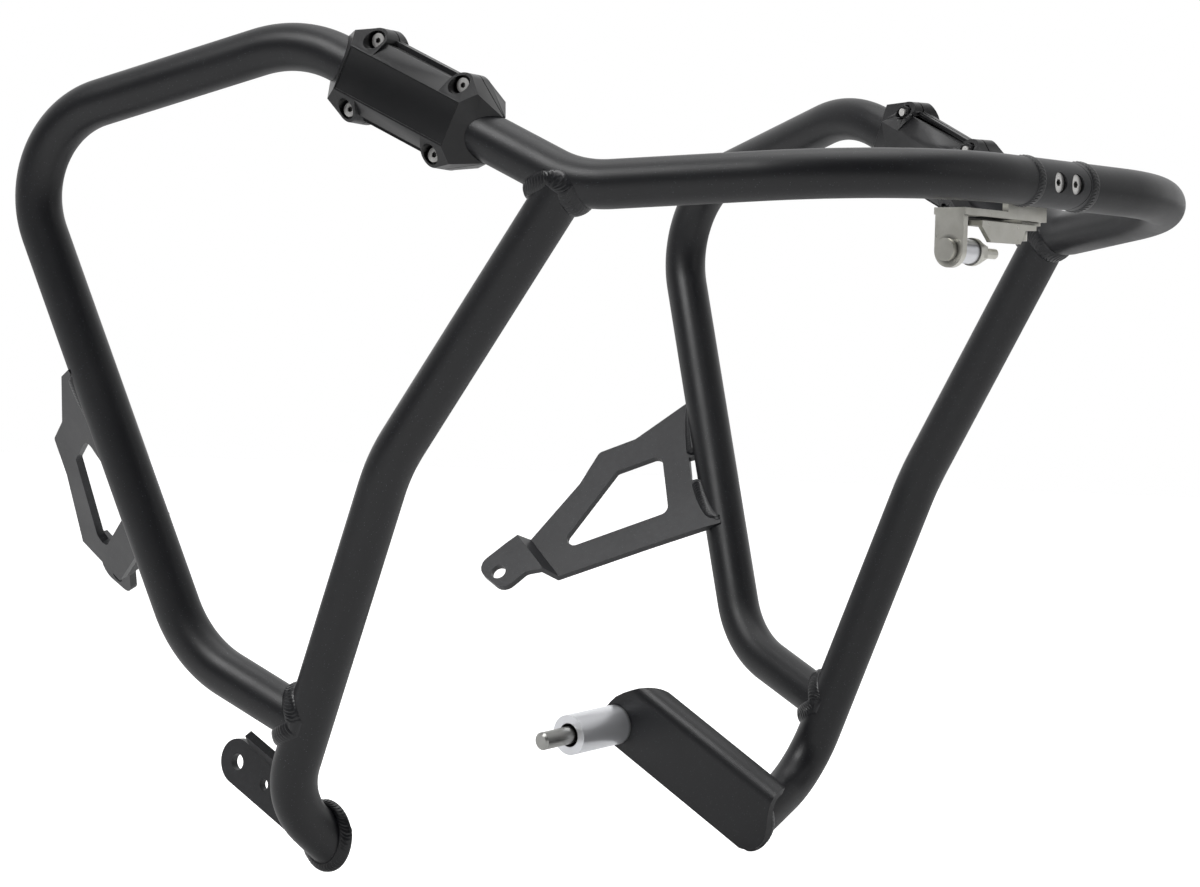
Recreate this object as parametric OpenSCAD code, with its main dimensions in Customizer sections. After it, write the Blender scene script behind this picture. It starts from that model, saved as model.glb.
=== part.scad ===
// Engine guard for a motorcycle: two mirrored bent-tube loops joined at the front by a lap splice.
// The bike's right side is -X, its front is -Y and up is +Z. Corner points are written for the
// right side, measured from the middle plane, the splice line and the height of the splice.

/* [Tubes] */
// Outside diameter of every bar tube
tube_d = 28; // [25:0.5:30]
// Wall thickness of the bar tubes
tube_wall = 2; // [1.5:0.1:3]
// Fit-up gap left at a coped tube end for the weld
weld_gap = 0.3; // [0.2:0.05:0.6]
// Leg length of the weld beads on tubes
weld_leg = 5; // [3.5:0.25:6]
// Ripple height of the weld beads
weld_ripple = 0.7; // [0.2:0.1:1]

/* [Upper loop] */
// Corner where the front cross tube turns back
front_corner = [-145, 0, 0]; // [-300:1:600]
// Corner where the padded length of tube starts
pad_corner = [-233, 165, -14]; // [-300:1:600]
// Corner at the top of the padded length
top_front_corner = [-262, 357, 72]; // [-300:1:600]
// Corner where the tube turns down at the rear
top_rear_corner = [-312, 553, 18]; // [-400:1:600]
// Corner at the foot of the rear tube
low_rear_corner = [-260, 432, -289]; // [-400:1:600]
// Bend radius at the front corner
front_bend = 145; // [100:1:160]
// Bend radius where the padded length starts
pad_bend = 60; // [45:1:90]
// Bend radius at the top of the padded length
top_front_bend = 84; // [50:1:110]
// Bend radius at the rear corner
top_rear_bend = 58; // [50:1:80]
// Bend radius at the foot of the rear tube
low_rear_bend = 72; // [50:1:80]

/* [Struts] */
// Distance from the pad corner to the strut's top joint
strut_top_run = 8; // [0:0.5:14]
// Corner at the strut's knee
knee_corner = [-253, 284, -173]; // [-400:1:600]
// Corner where the strut turns in to its foot
foot_corner = [-245, 366, -372]; // [-500:1:600]
// Bend radius at the knee
knee_bend = 126; // [80:1:150]
// Bend radius above the foot
foot_bend = 47; // [40:1:50]
// Distance from the knee down to the joint with the rear tube
low_joint_run = 166; // [120:1:175]
// Centre of the right foot on its plate
foot_right = [-211.5, 362.7, -396.7]; // [-500:0.1:600]
// Centre of the left foot on its arm, written as for the right side
foot_left = [-182.08, 357.5, -401.6]; // [-500:0.01:600]

/* [Splice] */
// Sideways place of the splice from the middle plane
splice_x = -14; // [-30:1:30]
// Length of the splice between its two weld beads
splice_len = 53; // [46:1:62]
// Length of full-round section behind each weld
splice_shoulder = 5; // [3:0.5:8]
// Radius of the rounded end of the front tongue
tongue_r = 20; // [16:1:30]
// Running gap around the tongue's end
tongue_gap = 0.5; // [0.3:0.1:1]
// Length of the spigot inside each tube
spigot_len = 11; // [6:0.5:11]
// Distance between the two splice screws
screw_pitch = 17; // [14:0.5:20]
// Thread diameter of the splice screws
screw_d = 6; // [5:1:6]
// Head diameter of the splice screws
screw_head_d = 11.5; // [10:0.5:12.5]

/* [Side brackets] */
// Thickness of the bracket plates
plate_t = 5; // [4:0.5:6]
// Diameter of the hole in each side bracket
side_hole_d = 10.5; // [8:0.5:12]
// Height of the jog in the side brackets
jog_h = 14; // [10:1:20]

/* [Lower mounts] */
// Width of the right lower plate
low_plate_w = 28; // [24:1:34]
// Length of the right lower plate from its bolt hole to its foot end
low_plate_len = 100; // [98:1:120]
// Bolt hole of the right lower plate
low_hole_d = 10; // [8:0.5:12]
// Second hole of the right lower plate
low_hole2_d = 7; // [6:0.5:9]
// Distance between the two holes
low_hole_pitch = 26; // [20:1:32]
// Height of the folded lip on the right lower plate
lip_h = 10; // [6:0.5:14]
// Height of the left arm's web
arm_web_h = 51.5; // [48:0.5:56]
// Distance along the left arm from the foot to the bolt
arm_reach = 129; // [115:1:145]
// Depth of the folded flange on the left arm
arm_flange = 22; // [14:1:26]
// Diameter of the engine bolt
bolt_d = 12; // [10:1:14]
// Length of the spacer sleeve on the engine bolt
spacer_len = 48; // [30:1:60]
// Outside diameter of the spacer sleeve
spacer_d = 27; // [24:1:30]
// Bore of the spacer sleeve
spacer_bore = 16; // [15:0.5:18]
// Length of bolt that stands out of the spacer
bolt_out = 28; // [16:1:36]

/* [Pads] */
// Distance from the pad corner to the pad's lower end
pad_start = 63.5; // [58:0.5:64]
// Length of the pad along the tube
pad_len = 118; // [104:1:118]
// Height of the outer face over the tube's centre
pad_h = 21.5; // [19:0.5:25]
// Height of the inner shell's back over the tube's centre
pad_back = 19; // [17:0.5:22]
// Half height of the flat panel
panel_w = 12.5; // [10:0.5:14]
// Distance of each clamp screw from the tube's centre
pad_screw_w = 21.5; // [20.5:0.5:24]
// Thread diameter of the clamp screws
pad_screw_d = 5; // [4:1:5]
// Radius of the ears around the clamp screws
ear_r = 7.4; // [7:0.1:9]

/* [Front hanger] */
// Thickness of the zinc-plated hanger plates
hanger_t = 4; // [3:0.5:5]
// Diameter of the hanger bolt
hanger_bolt_d = 6; // [5:1:8]
// Length of the hanger's aluminium spacer
hanger_spacer_len = 17; // [10:1:22]

/* [Hidden] */
$fn = 96;
tube_r = tube_d / 2;
clear = 0.08;
slim = 0.1;
lap = 1;
bead_n = 72;
paint = [0.13, 0.13, 0.14];
plastic = [0.07, 0.07, 0.08];
zinc = [0.72, 0.70, 0.62];
steel = [0.75, 0.75, 0.76];
alloy = [0.82, 0.83, 0.85];

// Vector helpers
function unit(v) = v / norm(v);
function side_of(v) = unit(cross(abs(v.z) < 0.9 ? [0, 0, 1] : [0, 1, 0], v));
function turn(u, w) = acos(u * w);
function lerp(a, b, s) = a + (b - a) * s;
// Rounded outline: each corner is [x, y, radius]
function flat(p) = [p.x, p.y];
function fillet(a, b, c, r, n = 6) = r == 0 ? [b]
    : let (u = unit(a - b), w = unit(c - b), half = acos(u * w) / 2,
           o = b + unit(u + w) * r / sin(half), s = b + u * r / tan(half), e = b + w * r / tan(half))
      [for (k = [0 : n]) o + r * unit(lerp(s - o, e - o, k / n))];
function rounded(p) = let (n = len(p))
    [for (i = [0 : n - 1]) each fillet(flat(p[(i + n - 1) % n]), flat(p[i]), flat(p[(i + 1) % n]), p[i].z)];

// Bent paths: straight lengths trimmed back to the tangent points of the bends
function dir(p, i) = unit(p[i + 1] - p[i]);
function trim(p, bends, i) =
    (i == 0 || i == len(p) - 1) ? 0 : bends[i - 1] * tan(turn(dir(p, i - 1), dir(p, i)) / 2);
function bend_in(p, i) = unit(dir(p, i) - (dir(p, i) * dir(p, i - 1)) * dir(p, i - 1));
function bend_centre(p, bends, i) =
    p[i] - dir(p, i - 1) * trim(p, bends, i) + bend_in(p, i) * bends[i - 1];
function bend_point(p, bends, i, q) =
    bend_centre(p, bends, i) + bends[i - 1] * (sin(q) * dir(p, i - 1) - cos(q) * bend_in(p, i));

splice_right = splice_x - splice_len / 2;
splice_left = splice_x + splice_len / 2;
loop_bends = [front_bend, pad_bend, top_front_bend, top_rear_bend, low_rear_bend];
pad_dir = unit(top_front_corner - pad_corner);
strut_top = pad_corner + pad_dir * strut_top_run;
strut_leg = unit(foot_corner - knee_corner);
low_joint = knee_corner + strut_leg * low_joint_run;
function loop_path(start) = [[start, 0, 0], front_corner, pad_corner, top_front_corner,
    top_rear_corner, low_rear_corner, low_joint];
path_right = loop_path(splice_right);
path_left = loop_path(-splice_left);
strut_bends = [knee_bend, foot_bend];
foot_lead = 12;
foot_run_right = unit(foot_right - foot_corner);
foot_run_left = unit(foot_left - foot_corner);
strut_right = [strut_top, knee_corner, foot_corner, foot_right + foot_run_right * foot_lead];
strut_left = [strut_top, knee_corner, foot_corner, foot_left + foot_run_left * foot_lead];

// Right lower plate: lies in a plane across X, runs forward and down from its bolt hole
low_plate_dir = unit([0, -0.887, -0.46]);
low_plate_up = cross(low_plate_dir, [1, 0, 0]);
foot_on_plate = 88;
lip_from = 5;
lip_to = 66;
low_hole = foot_right - low_plate_dir * foot_on_plate + [plate_t / 2, 0, 0];
origin = low_hole;

// Left lower arm: its plane leans with the engine bolt
bolt_tilt = 7.2;
arm_slope = 30.2;
bolt_axis = [cos(bolt_tilt), 0, sin(bolt_tilt)];
arm_up0 = [-sin(bolt_tilt), 0, cos(bolt_tilt)];
arm_run = [0, 1, 0] * cos(arm_slope) + arm_up0 * sin(arm_slope);
arm_up = arm_up0 * cos(arm_slope) - [0, 1, 0] * sin(arm_slope);
arm_at = [182, 352, -401];
arm_heel_r = 18.5;
arm_low = -22.6;
bolt_drop = -9;
arm_boss_r = 19.5;
arm_fold_end = 115;

// Side bracket: lies beside the rear tube, reaching back and in
rear_dir = dir(path_right, 4);
side_lean = unit([0.87, -0.36, 0.29]);
side_n = unit(side_lean - (side_lean * rear_dir) * rear_dir);
side_out = cross(side_n, rear_dir);
// The bracket's plane leans along the tube, and crosses its middle line at bracket_at
bracket_slope = 0.25;
bracket_at = top_rear_corner + rear_dir * 200;
bracket_x = unit(rear_dir + side_n * bracket_slope);
bracket_z = cross(bracket_x, side_out);

// Pad frame: along the tube, across it and out to the panel
pad_face0 = [-0.98, -0.2, 0];
pad_n = unit(pad_face0 - (pad_face0 * pad_dir) * pad_dir);
pad_w = cross(pad_n, pad_dir);

module placed() translate(-origin) children();
module left_side() mirror([1, 0, 0]) children();
module aim(p, d) translate(p) rotate([0, acos(unit(d).z), atan2(d.y, d.x)]) children();
module frame(o, x, y) {
    z = cross(x, y);
    multmatrix([[x.x, y.x, z.x, o.x], [x.y, y.y, z.y, o.y], [x.z, y.z, z.z, o.z], [0, 0, 0, 1]])
        children();
}

// Cross-section of a run: a ring, or a disc where the bore is zero
module section(r, bore) {
    difference() {
        circle(r = r);
        if (bore > 0) circle(r = bore);
    }
}
module straight(a, b, r, bore) aim(a, b - a) linear_extrude(height = norm(b - a)) section(r, bore);
module bend(p, bends, i, r, bore) {
    frame(bend_centre(p, bends, i), -bend_in(p, i), dir(p, i - 1))
        rotate_extrude(angle = turn(dir(p, i - 1), dir(p, i)))
            translate([bends[i - 1], 0]) section(r, bore);
}
// The straights are a hair slimmer than the bends and reach a little way into them
module run(p, bends, r, bore, first = 0, last = 99) {
    for (i = [first : min(last, len(p) - 2)]) {
        straight(p[i] + dir(p, i) * (trim(p, bends, i) - (i > 0 ? lap : 0)),
            p[i + 1] - dir(p, i) * (trim(p, bends, i + 1) - (i < len(p) - 2 ? lap : 0)),
            r - slim, bore > 0 ? bore + slim : 0);
        if (i > first) bend(p, bends, i, r, bore);
    }
}

// Weld beads. A chain is a row of points down the middle of the tube that is welded to.
function foot_of(q, a, b) = a + (b - a) * max(0, min(1, (q - a) * (b - a) / ((b - a) * (b - a))));
function nearer(q, a, b) = norm(q - a) < norm(q - b) ? a : b;
function on_chain(q, chain, i = 0) = i == len(chain) - 2
    ? foot_of(q, chain[i], chain[i + 1])
    : nearer(q, foot_of(q, chain[i], chain[i + 1]), on_chain(q, chain, i + 1));
function meet(g, d, chain, r, lo, hi, k = 16) = k == 0 ? (lo + hi) / 2
    : let (t = (lo + hi) / 2, q = g + d * t)
      norm(q - on_chain(q, chain)) < r
        ? meet(g, d, chain, r, t, hi, k - 1) : meet(g, d, chain, r, lo, t, k - 1);
function bump(k) = k % 2 == 0 ? 1 + weld_ripple : 1;
// One slice of a fillet bead between a wall with normal na and a tube with normal nb along d
function slice(c, na, nb, toe_a, toe_b, k) = let (out = unit(na + nb) * bump(k))
    [c + (na + nb) * clear, toe_b, lerp(toe_b, toe_a, 0.2) + out * 0.7,
     lerp(toe_b, toe_a, 0.5) + out, lerp(toe_b, toe_a, 0.8) + out * 0.7, toe_a];
function saddle_slice(o, d, chain, k, reach) = let (
    q = 360 * k / bead_n, e1 = side_of(d), e2 = cross(d, e1),
    nb = e1 * cos(q) + e2 * sin(q), g = o + nb * (tube_r + clear),
    t = meet(g, d, chain, tube_r + clear, 0, reach), c = g + d * t,
    na = unit(c - on_chain(c, chain)), m = unit(nb - (nb * na) * na),
    s = c + m * weld_leg, f = on_chain(s, chain), h = c + m * weld_leg / 2, g2 = on_chain(h, chain))
    concat(slice(c, na, nb, f + unit(s - f) * (tube_r + clear), c + d * weld_leg, k),
        [g2 + unit(h - g2) * (tube_r + clear)]);
function flat_slice(o, d, wall, n, edge, k) = let (
    q = 360 * k / bead_n, e1 = side_of(d), e2 = cross(d, e1),
    nb = e1 * cos(q) + e2 * sin(q), g = o + nb * (tube_r + clear),
    c = g + d * (((wall - g) * n) / (d * n)), m = unit(nb - (nb * n) * n),
    leg = weld_leg * (1 - 0.8 * max(0, m * unit(edge))))
    slice(c + n * clear, n, nb, c + m * leg + n * clear, c + d * weld_leg, k);
function hoop_slice(x, k) = let (q = 360 * k / bead_n, r = tube_r + clear, h = 0.9 * bump(k))
    [for (s = [[-0.5, 0], [-0.3, 0.7], [0, 1], [0.3, 0.7], [0.5, 0]])
        [x + s[0] * weld_leg * 1.2, (r + s[1] * h) * cos(q), (r + s[1] * h) * sin(q)]];
module bead(slices, closed = true) {
    n = len(slices);
    m = len(slices[0]);
    walls = [for (i = [0 : n - (closed ? 1 : 2)], j = [0 : m - 1])
        [i * m + j, i * m + (j + 1) % m, ((i + 1) % n) * m + (j + 1) % m, ((i + 1) % n) * m + j]];
    caps = closed ? [] : [[for (j = [0 : m - 1]) m - 1 - j], [for (j = [0 : m - 1]) (n - 1) * m + j]];
    polyhedron(points = [for (s = slices, p = s) p], faces = concat(walls, caps), convexity = 4);
}

// Middle line of the loop around the pad corner, with the bend in short chords
pad_turn = turn(dir(path_right, 1), dir(path_right, 2));
pad_chain = concat(
    [lerp(front_corner, pad_corner, 0.6)],
    [for (k = [0 : 16]) bend_point(path_right, loop_bends, 2, pad_turn * k / 16)],
    [lerp(pad_corner, top_front_corner, 0.5)]);
strut_chain = [knee_corner, foot_corner];

// Tubes
module loop_tube(path) {
    difference() {
        run(path, loop_bends, tube_r, tube_r - tube_wall);
        straight(knee_corner, foot_corner, tube_r + weld_gap, 0);
    }
}
module strut_tube(path, wall, n) {
    difference() {
        run(path, strut_bends, tube_r, tube_r - tube_wall);
        run(path_right, loop_bends, tube_r + weld_gap, 0, 1, 2);
        // Cut the foot flat against its plate
        aim(wall, -n) cylinder(h = 3 * tube_d, r = 2 * tube_d);
    }
}
module main_tube_right() color(paint) placed() loop_tube(path_right);
module main_tube_left() color(paint) placed() left_side() loop_tube(path_left);
module strut_tube_right() color(paint) placed() strut_tube(strut_right, foot_right, [-1, 0, 0]);
module strut_tube_left() color(paint) placed() left_side()
    strut_tube(strut_left, foot_left, [-bolt_axis.x, 0, bolt_axis.z]);

// Front splice: a half-lap of two round bars, screwed from the front
module round_x(a, b, r) translate([a, 0, 0]) rotate([0, 90, 0]) cylinder(h = b - a, r = r);
module tongue_zone(grow) {
    far = splice_left - splice_shoulder;
    translate([far - tongue_r, 0, 0]) rotate([90, 0, 0])
        linear_extrude(height = tube_d) union() {
            circle(r = tongue_r + grow);
            translate([-tube_d * 2 + grow, -tube_d]) square([tube_d * 2, tube_d * 2]);
        }
}
module screw_axis() for (s = [-1, 1]) translate([splice_x + s * screw_pitch / 2, 0, 0])
    rotate([90, 0, 0]) children();
head_floor = tube_r - 6.5;
module splice_half_front() color(paint) placed() difference() {
    union() {
        intersection() {
            round_x(splice_right, splice_left, tube_r);
            tongue_zone(0);
        }
        round_x(splice_right, splice_right + splice_shoulder, tube_r);
        round_x(splice_right - spigot_len, splice_right, tube_r - tube_wall - clear);
    }
    screw_axis() {
        cylinder(h = tube_d, r = screw_d / 2 + 0.3);
        translate([0, 0, head_floor]) cylinder(h = tube_r, r = screw_head_d / 2 + 0.25);
    }
}
module splice_half_rear() color(paint) placed() difference() {
    union() {
        intersection() {
            round_x(splice_right + splice_shoulder + tongue_gap, splice_left, tube_r);
            translate([-2 * tube_d, 0, -tube_d]) cube([4 * tube_d, tube_d, 2 * tube_d]);
        }
        difference() {
            round_x(splice_right + splice_shoulder + tongue_gap, splice_left, tube_r);
            translate([-2 * tube_d, 0, -tube_d]) cube([4 * tube_d, tube_d, 2 * tube_d]);
            tongue_zone(tongue_gap);
        }
        round_x(splice_left, splice_left + spigot_len, tube_r - tube_wall - clear);
    }
    screw_axis() translate([0, 0, -tube_d]) cylinder(h = 2 * tube_d, r = screw_d / 2 + clear);
}
screw_tail = tube_r + 7;
module splice_screw() {
    difference() {
        translate([0, 0, head_floor]) cylinder(h = 4.5, r = screw_head_d / 2);
        translate([0, 0, head_floor + 2]) cylinder(h = 9, r = 0.36 * screw_d, $fn = 6);
    }
    translate([0, 0, -screw_tail]) cylinder(h = head_floor + screw_tail + 0.5, r = screw_d / 2);
}
module splice_screws() color(steel) placed() screw_axis() splice_screw();
module splice_weld_right() color(paint) placed()
    bead([for (k = [0 : bead_n - 1]) hoop_slice(splice_right, k)]);
module splice_weld_left() color(paint) placed()
    bead([for (k = [0 : bead_n - 1]) hoop_slice(splice_left, k)]);

// Saddle welds of the struts and the rear tubes
module top_weld() bead([for (k = [0 : bead_n - 1])
    saddle_slice(strut_top, dir(strut_right, 0), pad_chain, k, 3 * tube_d)]);
module low_weld() bead([for (k = [0 : bead_n - 1])
    saddle_slice(low_joint, -dir(path_right, 5), strut_chain, k, 3 * tube_d)]);
module top_weld_right() color(paint) placed() top_weld();
module top_weld_left() color(paint) placed() left_side() top_weld();
module low_weld_right() color(paint) placed() low_weld();
module low_weld_left() color(paint) placed() left_side() low_weld();

// Side bracket: folded plate with a window, a slot at the tube and a jogged tab
bracket_outline = [[-52, 0, 0], [-52, 15, 2], [-32, 55, 8], [-28, 82, 5], [-6, 98, 6], [31, 137, 3],
    [37, 149, 4], [51.5, 174, 9], [75.5, 155, 9], [64.5, 137.5, 6], [65.5, 119, 4], [57.5, 52, 0],
    [53.5, 13, 2], [53, 0, 0]];
window_outline = [[-13.7, 37, 6], [34.3, 36, 6], [45.4, 120, 6], [-9.2, 70.4, 3]];
side_hole = [59.5, 157];
slot_from = -6;
slot_to = 13;
fold_dir = unit([34.5, -18]);
fold_across = [-fold_dir.y, fold_dir.x];
fold_at = [31, 137] * fold_across;
jog_run = 6;
// Z-folded strip: flat, then the sloping jog, then the tab, drawn across the fold
module fold_profile() polygon([
    [-300, -plate_t / 2], [fold_at + 1, -plate_t / 2], [fold_at + 1 + jog_run, jog_h - plate_t / 2],
    [fold_at + 120, jog_h - plate_t / 2], [fold_at + 120, jog_h + plate_t / 2],
    [fold_at - 1 + jog_run, jog_h + plate_t / 2], [fold_at - 1, plate_t / 2], [-300, plate_t / 2]]);
module bracket_frame() frame(bracket_at, bracket_x, side_out) children();
module side_bracket() difference() {
    bracket_frame() difference() {
        intersection() {
            multmatrix([[fold_across.x, 0, fold_dir.x, 0], [fold_across.y, 0, fold_dir.y, 0],
                [0, 1, 0, 0], [0, 0, 0, 1]])
                translate([0, 0, -400]) linear_extrude(height = 800) fold_profile();
            translate([0, 0, -2 * jog_h]) linear_extrude(height = 4 * jog_h)
                polygon(rounded(bracket_outline));
        }
        translate([0, 0, -2 * jog_h]) linear_extrude(height = 4 * jog_h) polygon(rounded(window_outline));
        translate([side_hole.x, side_hole.y, 0]) cylinder(h = 2 * jog_h, r = side_hole_d / 2);
        // Slot that parts the two weld stretches
        translate([slot_from, 0, -jog_h]) cube([slot_to - slot_from, tube_r + 4, 2 * jog_h]);
    }
    straight(top_rear_corner, low_rear_corner, tube_r + weld_gap, 0);
}
module side_bracket_right() color(paint) placed() side_bracket();
module side_bracket_left() color(paint) placed() left_side() side_bracket();

// Fillet beads along both faces of a side bracket, above and below the slot
function bracket_point(x, y, z) = bracket_at + bracket_x * x + side_out * y + bracket_z * z;
function tube_out(q) = let (a = bracket_at, m = q - a - rear_dir * ((q - a) * rear_dir)) unit(m);
function tube_skin(q) = q - tube_out(q) * (norm((q - bracket_at) - rear_dir * ((q - bracket_at) * rear_dir))
    - tube_r - clear);
// Height over the bracket's plane comes from the lean, so the root is found along side_out
function edge_y(x, z, lo = 0, hi = 20, k = 16) = k == 0 ? (lo + hi) / 2
    : let (y = (lo + hi) / 2, q = bracket_point(x, y, z) - bracket_at)
      norm(q - rear_dir * (q * rear_dir)) < tube_r + clear
        ? edge_y(x, z, y, hi, k - 1) : edge_y(x, z, lo, y, k - 1);
function corner_slice(x, face, k) = let (
    h = face * (plate_t / 2 + clear), y = edge_y(x, h), a = 0.75 * weld_leg,
    root = bracket_point(x, y, h), up = bracket_z * face,
    toe = tube_skin(root + up * a * 0.9 - side_out * 0.2), wall = bracket_point(x, y + a, h),
    crown = (toe + wall) / 2 + unit(up + side_out * 0.6) * 0.45 * bump(k))
    [root, wall, crown, toe];
module corner_bead(from, to, face) {
    n = round((to - from) / 1.6);
    slices = [for (k = [0 : n]) corner_slice(lerp(from, to, k / n), face, k)];
    bead(face > 0 ? slices : [for (s = slices) [for (j = [0 : len(s) - 1]) s[len(s) - 1 - j]]], false);
}
module bracket_weld() for (face = [-1, 1], span = [[-48, slot_from - 2], [slot_to + 2, 50]])
    corner_bead(span[0], span[1], face);
module bracket_weld_right() color(paint) placed() bracket_weld();
module bracket_weld_left() color(paint) placed() left_side() bracket_weld();

// Right lower plate: strip with a round end, two holes and a lip folded up and out along its top
module lower_plate_right() color(paint) placed()
    frame(low_hole, low_plate_dir, low_plate_up) difference() {
        half = low_plate_w / 2;
        union() {
            translate([0, 0, -plate_t / 2]) linear_extrude(height = plate_t) union() {
                circle(r = half);
                polygon(rounded([[0, -half, 0], [low_plate_len - 5, -half, 7], [low_plate_len + 3, -5, 5],
                    [low_plate_len - 2, half, 3], [0, half, 0]]));
            }
            translate([lip_from, 0, 0]) rotate([90, 0, 90]) linear_extrude(height = lip_to - lip_from)
                polygon([[half - 4, -plate_t / 2], [half + 1, -plate_t / 2],
                    [half + 1 + lip_h, lip_h - plate_t / 2], [half + lip_h - 2.5, lip_h + 1],
                    [half - 1, plate_t / 2], [half - 4, plate_t / 2]]);
        }
        translate([0, 0, -plate_t]) cylinder(h = 2 * plate_t, r = low_hole_d / 2);
        translate([low_hole_pitch, 0, -plate_t]) cylinder(h = 2 * plate_t, r = low_hole2_d / 2);
    }
module plate_weld_right() color(paint) placed() bead([for (k = [0 : bead_n - 1])
    flat_slice(foot_right, -foot_run_right, foot_right, [-1, 0, 0], [0, -0.2, -1], k)]);

// Left lower arm: folded web and flange with a round end at the engine bolt
module arm_frame() frame(arm_at, arm_run, arm_up) children();
module lower_arm_left() color(paint) placed() arm_frame() {
    top = arm_low + arm_web_h;
    fold_r = 11;
    difference() {
        union() {
            translate([0, 0, -plate_t]) linear_extrude(height = plate_t) union() {
                translate([6.5, -4.5]) circle(r = arm_heel_r);
                translate([arm_reach, bolt_drop]) circle(r = arm_boss_r);
                polygon(rounded([[6, arm_low, 0], [arm_reach, arm_low, 0], [arm_reach + 6, 8, 0],
                    [arm_reach - 2, 12.5, 6], [arm_fold_end, top - fold_r, 0], [-6, top - fold_r, 0],
                    [-9, -4, 0]]));
            }
            // Folded corner and flange
            translate([-4, 0, 0]) rotate([90, 0, 90]) linear_extrude(height = arm_fold_end + 4)
                difference() {
                    union() {
                        translate([top - fold_r, -plate_t + fold_r]) circle(r = fold_r);
                        translate([top - plate_t, -plate_t + fold_r])
                            square([plate_t, arm_flange - fold_r]);
                        translate([0, -plate_t]) square([top - fold_r, plate_t]);
                    }
                    translate([top - fold_r, -plate_t + fold_r]) circle(r = fold_r - plate_t);
                    translate([-2, 0]) square([top - fold_r + 2, 4 * fold_r]);
                    translate([top - 2 * fold_r - 2, -plate_t + fold_r])
                        square([2 * fold_r - plate_t + 2, 4 * fold_r]);
                }
        }
        translate([arm_reach, bolt_drop, -2 * plate_t]) cylinder(h = 4 * plate_t, r = bolt_d / 2 + 0.5);
    }
}
module arm_weld_left() color(paint) placed() left_side() bead([for (k = [0 : bead_n - 1])
    flat_slice(foot_left, -foot_run_left, foot_left, [-bolt_axis.x, 0, bolt_axis.z], [0, -1, -0.3], k)]);
module bolt_line() arm_frame() translate([arm_reach, bolt_drop, -plate_t]) children();
module spacer_left() color(alloy) placed() bolt_line() translate([0, 0, -spacer_len]) difference() {
    cylinder(h = spacer_len, r = spacer_d / 2);
    translate([0, 0, -1]) cylinder(h = spacer_len + 2, r = spacer_bore / 2);
}
bolt_chamfer = 1.5;
shank_relief = 0.25;
module engine_bolt_left() color(steel) placed() bolt_line() {
    reach = spacer_len + bolt_out;
    // Threaded end that stands out of the spacer, relieved shank behind it, then the head
    translate([0, 0, bolt_chamfer - reach]) cylinder(h = bolt_out - bolt_chamfer, r = bolt_d / 2);
    translate([0, 0, -reach]) cylinder(h = bolt_chamfer, r1 = bolt_d / 2 - bolt_chamfer, r2 = bolt_d / 2);
    translate([0, 0, -spacer_len]) cylinder(h = spacer_len + plate_t, r = bolt_d / 2 - shank_relief);
    translate([0, 0, plate_t]) cylinder(h = 2.5, r = bolt_d);
    translate([0, 0, plate_t + 2.5]) cylinder(h = 7.5, r = 0.866 * bolt_d, $fn = 6);
}

// Crash pads: two moulded shells clamped round the tube by four screws
module pad_frame() frame(pad_corner + pad_dir * (pad_start + pad_len / 2), pad_dir, pad_w) children();
pad_screw_t = pad_len / 2 - 26.4;
pad_split = 0.4;
pad_collar = 14.5;
pad_waist = 22;
flange_w = 25;
end_slope = 17;
screw_seat = 7.5;
nut_seat = 7;
panel_recess = 0.6;
module four_corners() for (a = [0, 1], b = [0, 1]) mirror([a, 0, 0]) mirror([0, b, 0]) children();
// Plan of a shell's end: a lobe round the screw, blended down to the collar
module lobe_plan() {
    translate([pad_screw_t, pad_screw_w]) circle(r = ear_r);
    polygon([[pad_screw_t - ear_r, 0], [pad_screw_t - ear_r, pad_screw_w],
        [pad_screw_t + 0.53 * ear_r, pad_screw_w + 0.83 * ear_r], [pad_len / 2, pad_collar],
        [pad_len / 2, 0]]);
}
// Side view of a shell: low at both end collars, full height along the panel
module pad_side(h, low) rotate([90, 0, 0]) translate([0, 0, -40]) linear_extrude(height = 80)
    polygon([[-pad_len / 2, pad_split], [-pad_len / 2, low], [-pad_len / 2 + end_slope, h],
        [pad_len / 2 - end_slope, h], [pad_len / 2, low], [pad_len / 2, pad_split]]);
// Cross-section: a flat panel with sloping flanks that end at a height of skirt
module pad_cross(w, skirt, h, face) rotate([90, 0, 90]) translate([0, 0, -pad_len])
    linear_extrude(height = 2 * pad_len) polygon([[-w, pad_split], [-w, skirt], [-face, h],
        [face, h], [w, skirt], [w, pad_split]]);
module pad_shell(h, lobe_skirt, waist_skirt, face) intersection() {
    pad_side(h, tube_r + 2);
    union() {
        intersection() {
            linear_extrude(height = 2 * h) union() four_corners() lobe_plan();
            pad_cross(pad_screw_w + ear_r, lobe_skirt, h, face);
        }
        intersection() {
            translate([-pad_screw_t, -pad_waist, 0]) cube([2 * pad_screw_t, 2 * pad_waist, h]);
            pad_cross(pad_waist, waist_skirt, h, face);
        }
        translate([-pad_screw_t, -flange_w, pad_split]) cube([2 * pad_screw_t, 2 * flange_w, 3]);
    }
}
module tube_bore() translate([-pad_len, 0, 0]) rotate([0, 90, 0])
    cylinder(h = 2 * pad_len, r = tube_r + clear);
module pad_holes(seat, r) for (t = [-pad_screw_t, pad_screw_t], w = [-pad_screw_w, pad_screw_w])
    translate([t, w, 0]) {
        cylinder(h = 40, r = pad_screw_d / 2 + 0.25);
        translate([0, 0, seat]) cylinder(h = 40, r = r);
    }
module pad_outer() pad_frame() difference() {
    pad_shell(pad_h, 9.5, 11, panel_w + 1);
    tube_bore();
    pad_holes(screw_seat, 1.14 * pad_screw_d);
    // Panel recess
    translate([end_slope - pad_len / 2 + 1, -panel_w, pad_h - panel_recess])
        cube([pad_len - 2 * end_slope - 2, 2 * panel_w, pad_h]);
}
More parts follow.
